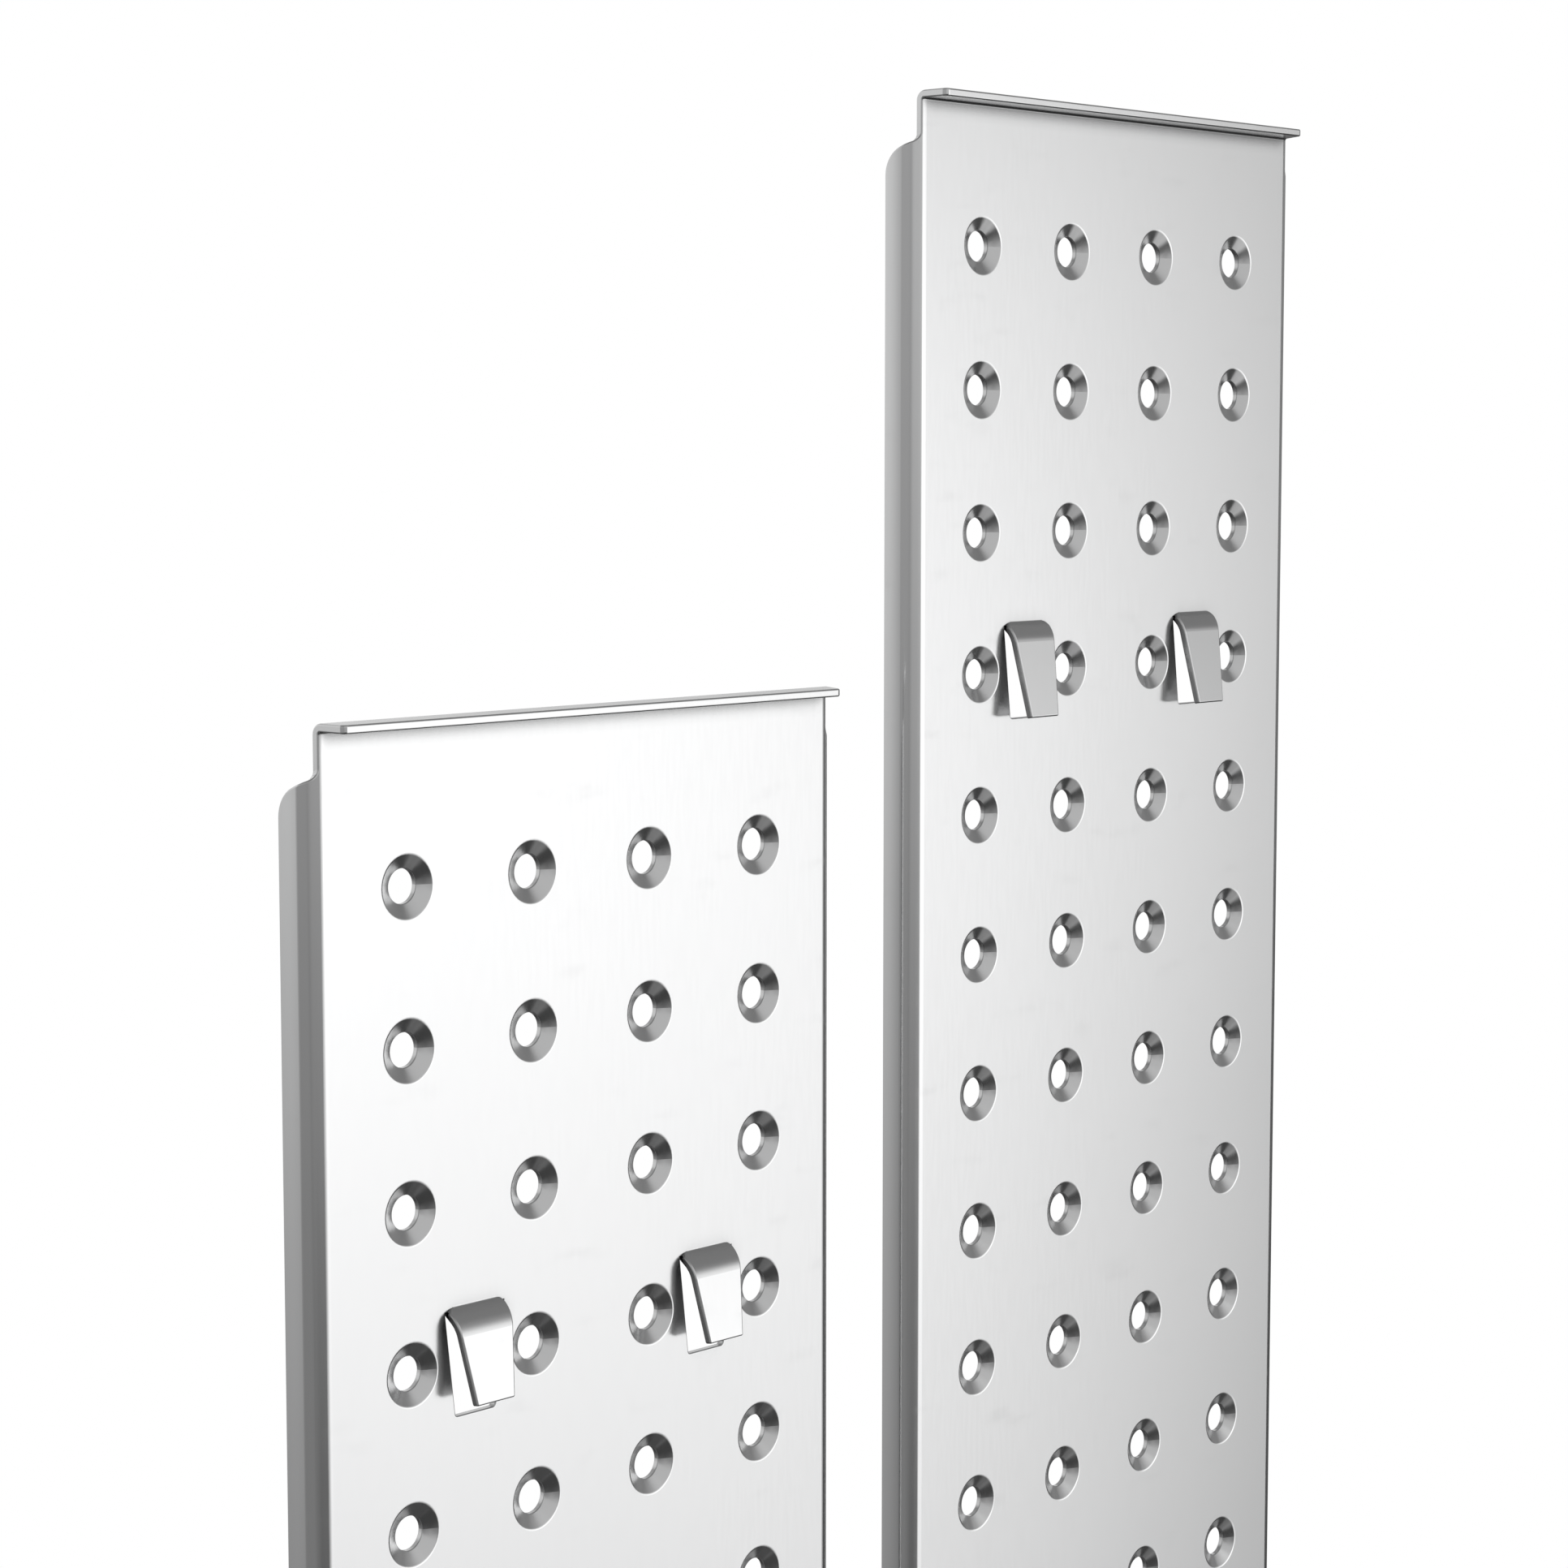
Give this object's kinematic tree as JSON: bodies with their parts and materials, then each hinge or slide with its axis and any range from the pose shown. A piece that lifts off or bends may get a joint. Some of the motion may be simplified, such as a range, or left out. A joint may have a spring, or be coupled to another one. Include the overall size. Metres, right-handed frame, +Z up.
{
  "type": "pegboard panel pair",
  "caption": "Pair of folded and perforated sheet-steel pegboard panels with dimpled holes, end lips, side flanges and lanced hooks.",
  "frame": {"origin": "centre of the pair's bounding box", "axes": "+X to the right along the face, +Y from the face towards the back edges of the flanges, +Z up along the panels"},
  "size_m": [0.3472, 0.0182, 0.9838],
  "materials": {
    "steel": "satin zinc-plated sheet"
  },
  "bodies": {
    "root": {"left_panel": "steel", "right_panel": "steel"}
  },
  "joints": []
}
